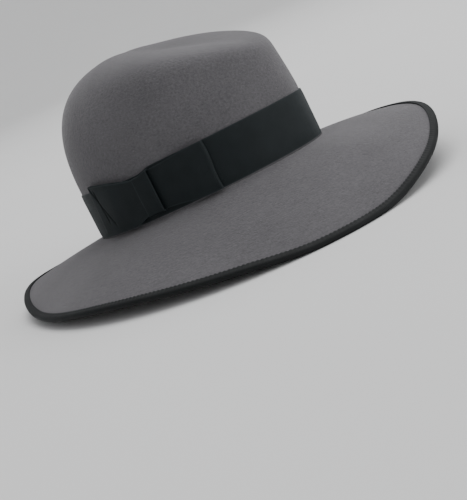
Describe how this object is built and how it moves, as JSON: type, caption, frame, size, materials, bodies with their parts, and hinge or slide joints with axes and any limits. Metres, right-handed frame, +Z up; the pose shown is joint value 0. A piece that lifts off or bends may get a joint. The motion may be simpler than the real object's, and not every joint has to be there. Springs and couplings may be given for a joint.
{
  "type": "fedora hat",
  "caption": "Wide-brim felt fedora with a soft teardrop crown, a ribbon band with a flat side bow and a ribbon-bound brim that dips at one front side.",
  "frame": {"origin": "bottom centre of the bounding box, on the surface the hat rests on", "axes": "+X towards the front of the hat, +Y towards the wearer's left, +Z up from the surface it rests on"},
  "size_m": [0.3686, 0.3406, 0.1606],
  "materials": {
    "felt": "matt grey wool felt",
    "ribbon": "black grosgrain ribbon"
  },
  "bodies": {
    "root": {"felt_crown_and_brim": "felt", "ribbon_band": "ribbon", "bow_front_loop": "ribbon", "bow_back_loop": "ribbon", "bow_knot": "ribbon", "brim_binding": "ribbon"}
  },
  "joints": []
}
